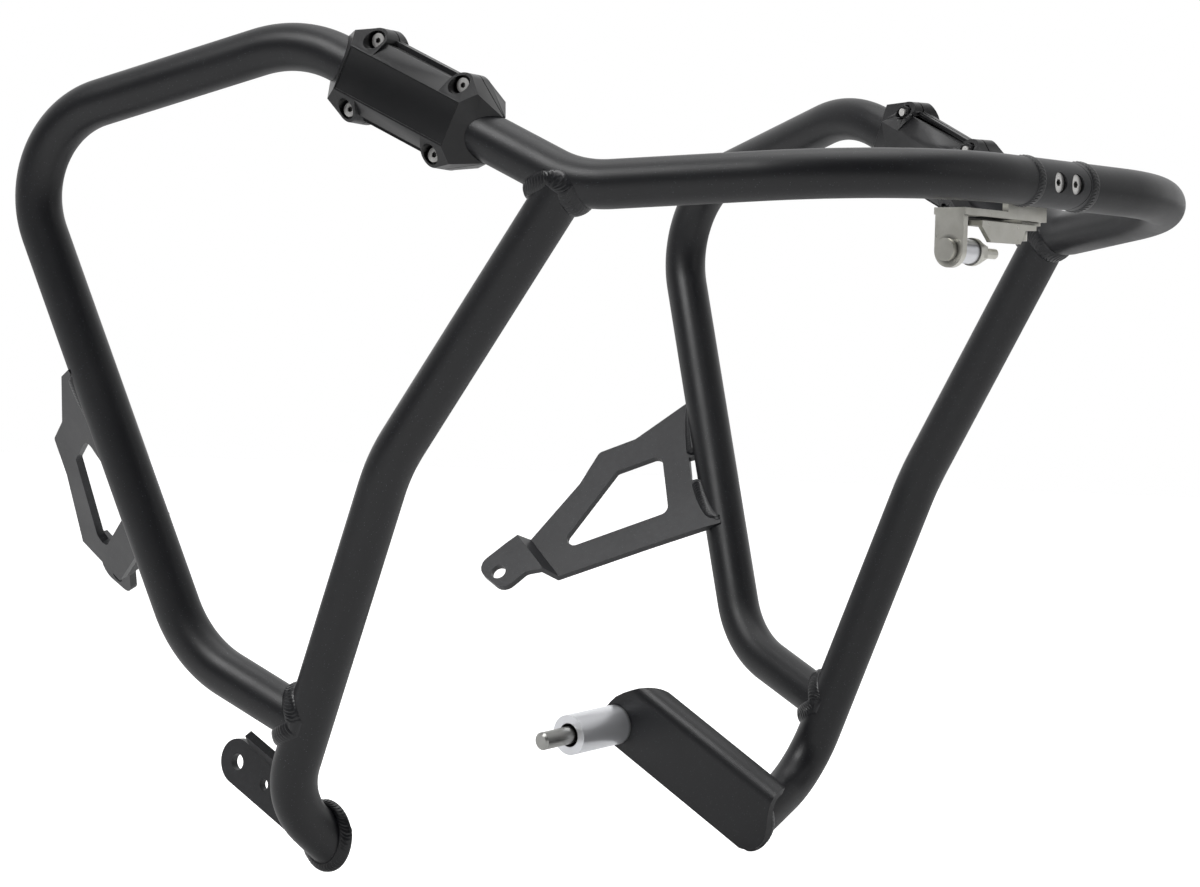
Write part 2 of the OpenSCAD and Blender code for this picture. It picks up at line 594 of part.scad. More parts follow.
module pad_inner() pad_frame() mirror([0, 0, 1]) difference() {
    pad_shell(pad_back, 6, 9, 11);
    tube_bore();
    pad_holes(nut_seat, pad_screw_d);
}
module pad_screw_places() pad_frame()
    for (t = [-pad_screw_t, pad_screw_t], w = [-pad_screw_w, pad_screw_w]) translate([t, w, 0]) children();
module pad_screws() pad_screw_places() {
    translate([0, 0, -13]) cylinder(h = 13 + screw_seat + 0.2, r = pad_screw_d / 2);
    translate([0, 0, screw_seat]) difference() {
        cylinder(h = 3.4, r = 0.85 * pad_screw_d);
        translate([0, 0, 1.4]) cylinder(h = 5, r = 0.35 * pad_screw_d, $fn = 6);
    }
}
module pad_nuts() pad_screw_places() translate([0, 0, -nut_seat - 4]) difference() {
    cylinder(h = 4, r = 0.92 * pad_screw_d, $fn = 6);
    translate([0, 0, -1]) cylinder(h = 6, r = pad_screw_d / 2 + clear);
}
module pad_outer_right() color(plastic) placed() pad_outer();
module pad_inner_right() color(plastic) placed() pad_inner();
module pad_screws_right() color(steel) placed() pad_screws();
module pad_nuts_right() color(plastic) placed() pad_nuts();
module pad_outer_left() color(plastic) placed() left_side() pad_outer();
module pad_inner_left() color(plastic) placed() left_side() pad_inner();
module pad_screws_left() color(steel) placed() left_side() pad_screws();
module pad_nuts_left() color(plastic) placed() left_side() pad_nuts();

// Front hanger: a zinc-plated bracket on the splice screws, behind and below the cross tube
shelf_left = -75;
shelf_right = -20;
shelf_top = -17;
shelf_back = 36;
plate_low = -41;
stud_y = 25;
nut_flange_r = 8;
face_t = 3;
face_back = 21;
clip_at = [-6, 25.5, -23];
clip_screw_r = 3;
arm_front = [[-53, -26.5], [-53, -23], [0, -23], [0, -26], [-10.5, -26.5], [-15, -34.5], [-44, -35]];
module hanger_plate() color(zinc) placed() difference() {
    union() {
        translate([-34, tube_r, shelf_top - hanger_t]) cube([38, hanger_t, 12 - shelf_top + hanger_t]);
        translate([shelf_left, tube_r, shelf_top - hanger_t])
            cube([shelf_right - shelf_left, shelf_back - tube_r, hanger_t]);
        translate([shelf_left, 0, 0]) rotate([90, 0, 90]) linear_extrude(height = hanger_t) union() {
            translate([tube_r + 1, plate_low]) square([20, shelf_top - plate_low]);
            translate([stud_y, plate_low]) circle(r = 10);
        }
    }
    for (s = [-1, 1]) translate([splice_x + s * screw_pitch / 2, 0, 0]) rotate([-90, 0, 0])
        cylinder(h = 2 * tube_d, r = screw_d / 2 + clear);
    translate([shelf_left - 1, stud_y, plate_low]) rotate([0, 90, 0])
        cylinder(h = 8, r = hanger_bolt_d / 2 + 0.2);
}
module hanger_arm() color(zinc) placed() difference() {
    union() {
        // Lower face plate, its fold and the web up to the shelf
        translate([0, face_back, 0]) rotate([90, 0, 0]) linear_extrude(height = face_t)
            polygon(arm_front);
        translate([-53, face_back - face_t, clip_at.z - face_t]) cube([53, 13, face_t]);
        translate([-65, 28, clip_at.z - face_t])
            cube([50, face_t, shelf_top - hanger_t - clear - clip_at.z + face_t]);
    }
    translate([clip_at.x, clip_at.y, -40]) cylinder(h = 40, r = clip_screw_r + 0.3);
}
module hanger_line() translate([shelf_left, stud_y, plate_low]) rotate([0, 90, 0]) children();
module hanger_spacer() color(alloy) placed() hanger_line() translate([0, 0, hanger_t]) difference() {
    cylinder(h = hanger_spacer_len, r = 7);
    translate([0, 0, -1]) cylinder(h = hanger_spacer_len + 2, r = hanger_bolt_d / 2 + 0.2);
}
module hanger_bolt() color(steel) placed() hanger_line() {
    translate([0, 0, -1]) cylinder(h = hanger_t + hanger_spacer_len + 24, r = hanger_bolt_d / 2);
    translate([0, 0, -4]) cylinder(h = 4, r = 6.5);
}
module hanger_nut() color(zinc) placed() hanger_line()
    translate([0, 0, hanger_t + hanger_spacer_len]) difference() {
        union() {
            cylinder(h = 3, r = nut_flange_r);
            cylinder(h = 9, r = 6.6, $fn = 6);
        }
        translate([0, 0, -1]) cylinder(h = 12, r = hanger_bolt_d / 2 + clear);
    }
// Clip nut on the arm's end, with its screw from below
module hanger_clip() color(zinc) placed() translate(clip_at) {
    difference() {
        translate([-7, -6, clear]) cube([19, 12, 7]);
        translate([-4.5, -7, clear + 1.5]) cube([14, 20, 4]);
    }
    translate([0, 0, -6]) cylinder(h = 7, r = clip_screw_r);
    translate([0, 0, -9]) cylinder(h = 6 - clear, r = 4.4);
}

main_tube_right();
main_tube_left();
strut_tube_right();
strut_tube_left();
splice_half_front();
splice_half_rear();
splice_screws();
splice_weld_right();
splice_weld_left();
top_weld_right();
top_weld_left();
low_weld_right();
low_weld_left();
side_bracket_right();
side_bracket_left();
bracket_weld_right();
bracket_weld_left();
lower_plate_right();
plate_weld_right();
lower_arm_left();
arm_weld_left();
spacer_left();
engine_bolt_left();
pad_outer_right();
pad_inner_right();
pad_screws_right();
pad_nuts_right();
pad_outer_left();
pad_inner_left();
pad_screws_left();
pad_nuts_left();
hanger_plate();
hanger_arm();
hanger_spacer();
hanger_bolt();
hanger_nut();
hanger_clip();
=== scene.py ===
"""Visual model of a motorcycle engine guard: bent tubes, welds, plates, pads and fasteners."""
import math
import random

import bmesh
import bpy
from bpy.props import FloatProperty, FloatVectorProperty, IntProperty, PointerProperty
from mathutils import Matrix, Vector


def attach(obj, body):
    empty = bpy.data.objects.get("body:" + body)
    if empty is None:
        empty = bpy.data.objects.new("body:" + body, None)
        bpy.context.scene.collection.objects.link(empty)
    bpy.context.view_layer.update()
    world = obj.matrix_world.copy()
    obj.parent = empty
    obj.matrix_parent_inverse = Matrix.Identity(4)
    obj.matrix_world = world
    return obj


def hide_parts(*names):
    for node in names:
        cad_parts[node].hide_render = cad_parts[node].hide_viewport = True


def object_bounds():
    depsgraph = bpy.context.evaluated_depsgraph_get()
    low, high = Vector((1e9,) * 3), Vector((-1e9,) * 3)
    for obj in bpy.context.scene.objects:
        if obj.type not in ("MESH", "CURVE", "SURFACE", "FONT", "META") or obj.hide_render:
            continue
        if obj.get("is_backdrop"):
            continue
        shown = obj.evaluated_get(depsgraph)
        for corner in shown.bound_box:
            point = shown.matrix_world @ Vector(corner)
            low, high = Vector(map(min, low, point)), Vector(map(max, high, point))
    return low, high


bl_info = {
    "name": "Engine Guard",
    "version": (1, 0, 0),
    "blender": (4, 5, 0),
    "location": "View3D > Sidebar > Guard",
    "description": "Builds the visual model of a motorcycle engine guard in its studio",
    "category": "Object",
}

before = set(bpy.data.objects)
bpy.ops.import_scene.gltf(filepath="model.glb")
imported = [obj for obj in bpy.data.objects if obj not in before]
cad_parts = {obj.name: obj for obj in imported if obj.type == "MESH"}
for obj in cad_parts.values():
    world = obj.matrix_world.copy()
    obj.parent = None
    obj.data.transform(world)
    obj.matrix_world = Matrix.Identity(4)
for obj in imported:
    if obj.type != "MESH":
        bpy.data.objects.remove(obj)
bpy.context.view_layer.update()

MM = 0.001
SIDES = (("right", 1), ("left", -1))

# Corner points of the right side in millimetres, from the middle plane and the splice line
PAD_CORNER = Vector((-233, 165, -14))
TOP_FRONT = Vector((-262, 357, 72))
KNEE = Vector((-253, 284, -173))
FOOT_BEND_AT = Vector((-245, 366, -372))
FOOT_RIGHT = Vector((-211.5, 362.7, -396.7))
FOOT_LEFT = Vector((-182.08, 357.5, -401.6))
PLATE_T = 5.0
# The frame's origin, the hole in the right lower plate: back from the foot along the plate's slope
LOW_PLATE_DIR = Vector((0, -0.887, -0.46)).normalized()
FOOT_ON_PLATE = 88
LOW_HOLE = FOOT_RIGHT - LOW_PLATE_DIR * FOOT_ON_PLATE + Vector((PLATE_T / 2, 0, 0))
# The splice's middle and length, and places along the tubes from their corners
SPLICE_X, SPLICE_LEN = -14.0, 53.0
PAD_DIR = (TOP_FRONT - PAD_CORNER).normalized()
STRUT_FROM_CORNER = 8
STRUT_TOP = PAD_CORNER + PAD_DIR * STRUT_FROM_CORNER
LEG_DIR = (FOOT_BEND_AT - KNEE).normalized()
JOINT_FROM_KNEE = 166
LOW_JOINT = KNEE + LEG_DIR * JOINT_FROM_KNEE
TOP_REAR, LOW_REAR = Vector((-312, 553, 18)), Vector((-260, 432, -289))
LOOP = [Vector((-145, 0, 0)), PAD_CORNER, TOP_FRONT, TOP_REAR, LOW_REAR]
LOOP_BENDS = [145, 60, 84, 58, 72]
STRUT_BENDS = [126, 47]
# Gap left for a weld, spare length of a strut before its end is cut, and how far a cope is looked for
WELD_GAP, FOOT_SPARE, FARTHEST = 0.3, 16, 90
# Gap between a bead and its tube, a bead's height as a share of its leg, and the points across it
CLEAR, BEAD_LIFT, BEAD_ACROSS = 0.05, 0.34, 14
# Steps of a bead round a tube and their length along the bracket, full and quick
ROUND_STEPS, ROUND_STEPS_QUICK = 560, 90
BRACKET_STEP, BRACKET_STEP_QUICK = 0.22, 1.0
# The bracket's bead and pitch as shares of a full bead, and the lengths that are welded
BRACKET_BEAD, BRACKET_PITCH = 0.8, 0.9
BRACKET_WELDS = ((-48.0, -8.0), (15.0, 50.0))
SPLICE_BEAD_WIDTH, SPLICE_BEAD_LEG, SPLICE_RIPPLE = 7.0, 3.2, 1.9
# Plane of the side bracket: along the tube, out from it and across its faces
REAR_DIR = (LOW_REAR - TOP_REAR).normalized()
LEAN = Vector((0.87, -0.36, 0.29)).normalized()
SIDE_N = (LEAN - REAR_DIR * LEAN.dot(REAR_DIR)).normalized()
SIDE_OUT = SIDE_N.cross(REAR_DIR)
BRACKET_FROM_BEND = 200
BRACKET_AT = TOP_REAR + REAR_DIR * BRACKET_FROM_BEND
BRACKET_SLOPE = 0.25
BRACKET_X = (REAR_DIR + SIDE_N * BRACKET_SLOPE).normalized()
BRACKET_Z = BRACKET_X.cross(SIDE_OUT)
# Left arm: its corner, the tilt of its bolt and its own slope, and its directions
ARM_AT = Vector((182, 352, -401))
BOLT_TILT = math.radians(7.2)
ARM_SLOPE = math.radians(30.2)
BOLT_AXIS = Vector((math.cos(BOLT_TILT), 0, math.sin(BOLT_TILT)))
ARM_UP0 = Vector((-math.sin(BOLT_TILT), 0, math.cos(BOLT_TILT)))
ARM_RUN = Vector((0, math.cos(ARM_SLOPE), 0)) + ARM_UP0 * math.sin(ARM_SLOPE)
ARM_UP = ARM_UP0 * math.cos(ARM_SLOPE) - Vector((0, math.sin(ARM_SLOPE), 0))
ARM_ACROSS = ARM_RUN.cross(ARM_UP)
# Its folded sheet: low edge under the corner, web up to the fold, the fold's radius, the whole width
ARM_LOW, ARM_WEB, FOLD_R, ARM_SHEET = 22.6, 40.5, 8.5, 55.8
ARM_REACH, BOLT_DROP, BOLT_HOLE_R = 129, -9.0, 6.5
# Ends of the sheet at places up its web and round its fold: place, near end, far end
ARM_ENDS = ((0, 2.7, 128.7), (2.6, -3.6, 134.5), (7, -8.6, 138.9), (12.6, -11.2, 141.5),
            (18, -12.0, 142.0), (24.6, -10.6, 140.0), (30.6, -8.2, 137.5), (36.6, -6.6, 133.0),
            (40.5, -6.0, 129.5), (45, -5.6, 124.0), (50, -5.2, 117.0), (53.85, -4.6, 111.5),
            (55.8, -3.0, 108.0))
# Pad: direction out through its panel, middle of its length, half lengths at the shoulder and at the
# foot of its end faces, the foot's height, and each shell's side and shoulder height
FACE = Vector((-0.98, -0.2, 0))
PAD_N = (FACE - PAD_DIR * FACE.dot(PAD_DIR)).normalized()
PAD_FROM_CORNER = 122.5
PAD_MIDDLE = PAD_CORNER + PAD_DIR * PAD_FROM_CORNER
PAD_SHOULDER, PAD_END, PAD_END_HEIGHT = 41.5, 58, 3
PAD_SHELLS = (("pad_outer_", 1, 21.5), ("pad_inner_", -1, 19.0))

# Studio lamps: name, place from the guard's middle, size and power
LAMPS = (("key", (-1.9, 0.3, 1.9), (1.3, 1.0), 34),
         ("top", (0.1, -0.1, 2.4), (2.2, 1.8), 22),
         ("fill", (0.6, -2.2, 0.9), (1.0, 1.4), 3))
# From the camera towards the guard's far side
TO_THE_BACK = (0.757, 0.653, 0.0)
FLOOR_DROP, FLOOR_HALF, FLOOR_WHITE = 0.002, 30.0, 0.84
CAMERA_AT = Vector((-2078.1, -1450.0, -158.9))
CAMERA_TURN = (-49.196, -0.041, 2.0203)
# Sensor width in millimetres, and the photo's focal length over its width, both in pixels
SENSOR, FOCAL_PER_WIDTH = 36.0, 4398.8 / 1200


class GuardSettings(bpy.types.PropertyGroup):
    """Sizes and finishes of the guard that are not set by the CAD model"""

    tube_radius: FloatProperty(
        name="Tube Radius", description="Outside radius of the bar tubes",
        default=0.014, min=0.01, max=0.02, unit="LENGTH")
    weld_leg: FloatProperty(
        name="Weld Leg", description="Leg length of the fillet beads",
        default=0.0064, min=0.003, max=0.008, unit="LENGTH")
    ripple_pitch: FloatProperty(
        name="Ripple Pitch", description="Distance between two ripples of a fillet bead",
        default=0.0022, min=0.001, max=0.005, unit="LENGTH")
    ripple_height: FloatProperty(
        name="Ripple Height", description="Height of a ripple over the bead",
        default=0.0017, min=0.0, max=0.003, unit="LENGTH")
    edge_round: FloatProperty(
        name="Edge Rounding", description="Rounding of plate and moulding edges",
        default=0.0005, min=0.0001, max=0.002, unit="LENGTH")
    ring_points: IntProperty(
        name="Ring Points", description="Points around a tube", default=96, min=24, max=192)
    coat_colour: FloatVectorProperty(
        name="Coat Colour", description="Colour of the powder coat", subtype="COLOR",
        default=(0.0036, 0.0039, 0.0056), min=0, max=1, size=3)
    coat_roughness: FloatProperty(
        name="Coat Roughness", description="Roughness of the powder coat",
        default=0.40, min=0, max=1, subtype="FACTOR")
    lamp_level: FloatProperty(
        name="Lamp Level", description="Factor on every studio lamp", default=1.0, min=0, max=4)
    world_level: FloatProperty(
        name="World Level", description="Strength of the studio's light from behind the guard",
        default=1.0, min=0, max=2)
    front_level: FloatProperty(
        name="Front Level", description="Strength of the studio's light from in front of the guard",
        default=0.12, min=0, max=2)


# Curves and meshes


def to_frame(p, side=1):
    """A point in millimetres on the right side, to metres in the part's own frame; side -1 mirrors it."""
    return (Vector((p.x * side, p.y, p.z)) - LOW_HOLE) * MM


def centreline(points, bends, step=2.0):
    """Points down the middle of a bent tube, with true arcs at its corners."""
    out = [points[0].copy()]
    for i in range(1, len(points) - 1):
        before = (points[i] - points[i - 1]).normalized()
        after = (points[i + 1] - points[i]).normalized()
        radius = bends[i - 1]
        angle = before.angle(after)
        inward = (after - before * after.dot(before)).normalized()
        start = points[i] - before * radius * math.tan(angle / 2)
        centre = start + inward * radius
        count = max(6, round(radius * angle / step))
        for k in range(count + 1):
            a = angle * k / count
            out.append(centre + radius * (math.sin(a) * before - math.cos(a) * inward))
    out.append(points[-1].copy())
    fine = [out[0]]
    for p in out[1:]:
        gap = (p - fine[-1]).length
        parts = max(1, math.ceil(gap / (4 * step)))
        start = fine[-1].copy()
        fine += [start.lerp(p, k / parts) for k in range(1, parts + 1)]
    return fine


def nearest(p, chain):
    """The nearest point to p on a row of straight lengths."""
    best = None
    for a, b in zip(chain, chain[1:]):
        s = max(0.0, min(1.0, (p - a).dot(b - a) / (b - a).length_squared))
        q = a + (b - a) * s
        if best is None or (p - q).length_squared < (p - best).length_squared:
            best = q
    return best


def reach(g, d, chain, radius, far):
    """How far the line from g along d runs before it leaves the tube around chain."""
    lo, hi = 0.0, far
    for _ in range(22):
        mid = (lo + hi) / 2
        q = g + d * mid
        if (q - nearest(q, chain)).length < radius:
            lo = mid
        else:
            hi = mid
    return hi


def side_of(d):
    """A unit direction across d."""
    helper = Vector((0, 0, 1)) if abs(d.z) < 0.9 else Vector((0, 1, 0))
    return helper.cross(d).normalized()


def mesh_object(name, points, faces, smooth=True):
    """An object in the scene from points in metres and faces, with its normals outward."""
    mesh = bpy.data.meshes.new(name)
    mesh.from_pydata([tuple(p) for p in points], [], faces)
    mesh.validate()
    bm = bmesh.new()
    bm.from_mesh(mesh)
    bmesh.ops.recalc_face_normals(bm, faces=bm.faces)
    bm.to_mesh(mesh)
    bm.free()
    if smooth:
        mesh.shade_smooth()
        mesh.set_sharp_from_angle(angle=math.radians(40))
    obj = bpy.data.objects.new(name, mesh)
    bpy.context.scene.collection.objects.link(obj)
    return obj


def grid_faces(rows, cols, close_rows=False, close_cols=True):
    """Quads of a grid of points, closed round either way."""
    faces = []
    for i in range(rows if close_rows else rows - 1):
        for j in range(cols if close_cols else cols - 1):
            a, b = i * cols + j, i * cols + (j + 1) % cols
            c, d = ((i + 1) % rows) * cols + (j + 1) % cols, ((i + 1) % rows) * cols + j
            faces.append((a, b, c, d))
    return faces


def tube(name, line, side, radius, around, cut_start=None, cut_end=None):
    """A tube skin down a row of points; cut_start and cut_end place the points of an end ring."""
    tangents = []
    for i in range(len(line)):
        ahead, behind = line[min(i + 1, len(line) - 1)], line[max(i - 1, 0)]
        tangents.append((ahead - behind).normalized())
    normal = side_of(tangents[0])
    rings = []
    for p, t in zip(line, tangents):
        normal = (normal - t * normal.dot(t)).normalized()
        across = t.cross(normal)
        rings.append([
            p + radius * (math.cos(a) * normal + math.sin(a) * across)
            for a in (2 * math.pi * j / around for j in range(around))])
    if cut_start:
        rings = cut_start(rings)
    if cut_end:
        rings = cut_end(rings[::-1])[::-1]
    points = [to_frame(p, side) for ring in rings for p in ring]
    faces = grid_faces(len(rings), around)
    return mesh_object(name, points, faces)


def new_end(rings, place):
    """Moves the first ring's points along the tube by place, and drops the rings that they pass."""
    d = (rings[1][0] - rings[0][0]).normalized()
    starts = [p + d * place(p, d) for p in rings[0]]
    keep = 1
    deepest = max((s - p).dot(d) for s, p in zip(starts, rings[0]))
    while keep < len(rings) - 1 and (rings[keep][0] - rings[0][0]).dot(d) <= deepest + 0.5:
        keep += 1
    return [starts] + rings[keep:]


def cope(chain, radius):
    """Ends a tube at the skin of the tube around chain, with a gap for the weld."""
    return lambda rings: new_end(rings, lambda p, d: reach(p, d, chain, radius + WELD_GAP, FARTHEST))


def mitre(at, normal):
    """Ends a tube flat in a plane."""
    return lambda rings: new_end(rings, lambda p, d: (at - p).dot(normal) / d.dot(normal))


def joint_lines():
    """Centre lines of the tube under the pad and of the strut's leg, which other tubes end on."""
    return centreline([LOOP[0], PAD_CORNER, TOP_FRONT], [LOOP_BENDS[1]]), [KNEE, FOOT_BEND_AT]


def foot_end(side):
    """The end of a strut's centre line and the outward normal of the plate that it stands on."""
    if side == 1:
        return FOOT_RIGHT, Vector((-1, 0, 0))
    return FOOT_LEFT, Vector((-math.cos(BOLT_TILT), 0, math.sin(BOLT_TILT)))


# Weld beads


def crown(across, along, pitch, ripple, uneven):
    """Height of the bead at a place across it (0 to 1) and along it, as overlapping crescents."""
    # The middle runs ahead of the toes; each crescent rises steeply and falls off slowly
    phase = along / pitch + 1.1 * (1 - (2 * across - 1) ** 2)
    cell = math.floor(phase)
    t = phase - cell
    wave = min(1.0, t / 0.18) * (1 - 0.8 * t)
    edge = math.sin(math.pi * across) ** 0.5
    return edge * (0.55 + ripple * (wave - 0.4) + 0.05 * uneven[cell % len(uneven)])


def bead_mesh(roots, side, leg, pitch, ripple, seed, closed=True):
    """Points and faces of a bead along roots, each (root, wall toe, tube toe, outward)."""
    rng = random.Random(seed)
    row = [rng.uniform(-1, 1) for _ in range(97)]
    lengths = [0.0]
    for a, b in zip(roots, roots[1:]):
        lengths.append(lengths[-1] + ((b[1] + b[2]) / 2 - (a[1] + a[2]) / 2).length)
    points = []
    for (root, toe_a, toe_b, out), along in zip(roots, lengths):
        # An open bead runs out at both ends
        end = 1.0 if closed else min(1.0, 0.25 + min(along, lengths[-1] - along) / 3) ** 0.5
        ring = []
        for j in range(BEAD_ACROSS + 1):
            s = j / BEAD_ACROSS
            base = root.lerp(toe_a.lerp(toe_b, s), end)
            ring.append(base + out * leg * BEAD_LIFT * end * crown(s, along, pitch, ripple / leg, row))
        ring.append(root)
        points += [to_frame(p, side) for p in ring]
    cols = BEAD_ACROSS + 2
    faces = grid_faces(len(roots), cols, close_rows=closed)
    if not closed:
        faces.append(tuple(range(cols))[::-1])
        faces.append(tuple(range((len(roots) - 1) * cols, len(roots) * cols)))
    return points, faces


def add_bead(name, node_name, points, faces):
    """A bead as a piece in place of its CAD node."""
    finish_piece(mesh_object(name, points, faces), "powder_coat", [node_name], "weld_coat")


def round_about(d, count):
    """Unit directions across d, evenly round it."""
    e1 = side_of(d)
    e2 = d.cross(e1)
    turns = [2 * math.pi * k / count for k in range(count)]
    return [e1 * math.cos(a) + e2 * math.sin(a) for a in turns]


def bracket_roots(start, end, face, radius, leg, step):
    """Roots of a bead in the corner between the rear tube and one face of the side bracket."""
    h = face * (PLATE_T / 2 + CLEAR)
    up = BRACKET_Z * face
    count = max(2, round((end - start) / step))
    out = []
    for k in range(count + 1):
        x = start + (end - start) * k / count
        y_low, y_high = 0.0, 20.0
        for _ in range(20):
            y = (y_low + y_high) / 2
            q = BRACKET_X * x + SIDE_OUT * y + BRACKET_Z * h
            if (q - REAR_DIR * q.dot(REAR_DIR)).length < radius + CLEAR:
                y_low = y
            else:
                y_high = y
        root = BRACKET_AT + q
        t = q + up * leg * 0.9 - SIDE_OUT * 0.2
        axial = REAR_DIR * t.dot(REAR_DIR)
        toe_tube = BRACKET_AT + axial + (t - axial).normalized() * (radius + CLEAR)
        out.append((root, root + SIDE_OUT * leg, toe_tube, (up + SIDE_OUT * 0.6).normalized()))
    return out


def saddle_roots(o, d, chain, radius, leg, count):
    """Roots of a bead where a tube along d ends at the tube around chain."""
    out = []
    for nb in round_about(d, count):
        g = o + nb * (radius + CLEAR)
        c = g + d * reach(g, d, chain, radius + CLEAR, FARTHEST)
        na = (c - nearest(c, chain)).normalized()
        m = (nb - na * nb.dot(na)).normalized()
        s = c + m * leg
        f = nearest(s, chain)
        toe_a = f + (s - f).normalized() * (radius + CLEAR)
        toe_b = c + d * leg
        out.append((c, toe_a, toe_b, (na + nb).normalized()))
    return out


def flat_roots(o, d, n, edge, radius, leg, count):
    """Roots of a bead where a tube along d stands on a plate with normal n; slim toward edge."""
    out = []
    for nb in round_about(d, count):
        g = o + nb * (radius + CLEAR)
        c = g + d * ((o - g).dot(n) / d.dot(n))
        m = (nb - n * nb.dot(n)).normalized()
        wide = leg * (1 - 0.8 * max(0.0, m.dot(edge)))
        out.append((c + n * CLEAR, c + m * wide + n * CLEAR, c + d * leg, (n + nb).normalized()))
    return out


def hoop_roots(x, radius, width, count):
    """Roots of a bead round a tube along X."""
    out = []
    for k in range(count):
        a = 2 * math.pi * k / count
        nb = Vector((0, math.cos(a), math.sin(a)))
        c = Vector((x, 0, 0)) + nb * (radius + CLEAR)
        half = Vector((width / 2, 0, 0))
        out.append((c - nb * 0.02, c - half, c + half, nb))
    return out


# Node groups and materials


def group(name, inputs, outputs):
    """An empty shader node group with sockets; each is (socket type, name, default)."""
    tree = bpy.data.node_groups.new(name, "ShaderNodeTree")
    for kind, label, default in inputs:
        socket = tree.interface.new_socket(name=label, in_out="INPUT", socket_type=kind)
        if default is not None:
            socket.default_value = default
    for kind, label in outputs:
        tree.interface.new_socket(name=label, in_out="OUTPUT", socket_type=kind)
    start = tree.nodes.new("NodeGroupInput")
    end = tree.nodes.new("NodeGroupOutput")
    return tree, start, end


def node(tree, kind, inputs=(), **values):
    """A new node with its values set, and inputs linked or filled by name or number."""
    made = tree.nodes.new(kind)
    for key, value in values.items():
        setattr(made, key, value)
    for key, value in dict(inputs).items():
        if isinstance(value, bpy.types.NodeSocket):
            tree.links.new(value, made.inputs[key])
        else:
            made.inputs[key].default_value = value
    return made


def grain_group():
    """Fine texture of a sprayed or moulded surface: a normal and a mask of its high spots."""
    tree, start, end = group(
        "Fine Grain",
        [("NodeSocketVector", "Vector", None), ("NodeSocketFloat", "Scale", 1600.0),
         ("NodeSocketFloat", "Strength", 0.3), ("NodeSocketFloat", "Depth", 0.0001)],
        [("NodeSocketVector", "Normal"), ("NodeSocketFloat", "Mask")])
    fine = node(tree, "ShaderNodeTexNoise", {
        "Vector": start.outputs["Vector"], "Scale": start.outputs["Scale"], "Detail": 3.0,
        "Roughness": 0.6})
    bump = node(tree, "ShaderNodeBump", {
        "Height": fine.outputs["Fac"], "Strength": start.outputs["Strength"],
        "Distance": start.outputs["Depth"]})
    tree.links.new(bump.outputs["Normal"], end.inputs["Normal"])
    tree.links.new(fine.outputs["Fac"], end.inputs["Mask"])
    return tree


def painted_glint_group():
    """Sparse bright flecks, as in a metallic coat, whose glints are painted in as a brighter colour."""
    tree, start, end = group(
        "Painted Glint Fleck",
        [("NodeSocketVector", "Vector", None), ("NodeSocketFloat", "Scale", 3000.0),
         ("NodeSocketFloat", "Share", 0.03)],
        [("NodeSocketFloat", "Mask")])
    cells = node(tree, "ShaderNodeTexVoronoi", {
        "Vector": start.outputs["Vector"], "Scale": start.outputs["Scale"]})
    split = node(tree, "ShaderNodeSeparateColor", {"Color": cells.outputs["Color"]})
    pick = node(tree, "ShaderNodeMath", {0: split.outputs[0], 1: start.outputs["Share"]},
                operation="LESS_THAN")
    tree.links.new(pick.outputs[0], end.inputs["Mask"])
    return tree


def painted_edge_highlight_group():
    """A soft mask of convex edges, broken up by noise, where a paler colour is painted in as a highlight.
    """
    tree, start, end = group(
        "Painted Edge Highlight",
        [("NodeSocketVector", "Vector", None), ("NodeSocketFloat", "Amount", 0.5)],
        [("NodeSocketFloat", "Mask")])
    shape = node(tree, "ShaderNodeNewGeometry")
    ramp = node(tree, "ShaderNodeMapRange", {
        "Value": shape.outputs["Pointiness"], "From Min": 0.52, "From Max": 0.62})
    noise = node(tree, "ShaderNodeTexNoise", {
        "Vector": start.outputs["Vector"], "Scale": 260.0, "Detail": 4.0})
    broken = node(tree, "ShaderNodeMath", {0: ramp.outputs[0], 1: noise.outputs["Fac"]},
                  operation="MULTIPLY")
    level = node(tree, "ShaderNodeMath", {0: broken.outputs[0], 1: start.outputs["Amount"]},
                 operation="MULTIPLY")
    tree.links.new(level.outputs[0], end.inputs["Mask"])
    return tree


def cloud_group():
    """Slow change over a surface, for dust, handling and uneven gloss."""
    tree, start, end = group(
        "Uneven",
        [("NodeSocketVector", "Vector", None), ("NodeSocketFloat", "Scale", 14.0),
         ("NodeSocketFloat", "Low", 0.0), ("NodeSocketFloat", "High", 1.0)],
        [("NodeSocketFloat", "Value")])
    noise = node(tree, "ShaderNodeTexNoise", {
        "Vector": start.outputs["Vector"], "Scale": start.outputs["Scale"], "Detail": 5.0,
        "Roughness": 0.62})
    span = node(tree, "ShaderNodeMapRange", {
        "Value": noise.outputs["Fac"], "From Min": 0.3, "From Max": 0.7,
        "To Min": start.outputs["Low"], "To Max": start.outputs["High"]})
    tree.links.new(span.outputs[0], end.inputs["Value"])
    return tree


def painted_recess_shade_group():
    """A mask of recesses such as sockets and corners, where shade is painted into the colour."""
    tree, start, end = group(
        "Painted Recess Shade",
        [("NodeSocketFloat", "Distance", 0.003), ("NodeSocketFloat", "Sharpness", 2.0)],
        [("NodeSocketFloat", "Mask")])
    open_part = node(tree, "ShaderNodeAmbientOcclusion", {"Distance": start.outputs["Distance"]},
                     samples=8)
    sharp = node(tree, "ShaderNodeMath", {0: open_part.outputs["AO"], 1: start.outputs["Sharpness"]},
                 operation="POWER")
    flip = node(tree, "ShaderNodeMath", {0: 1.0, 1: sharp.outputs[0]}, operation="SUBTRACT")
    tree.links.new(flip.outputs[0], end.inputs["Mask"])
    return tree


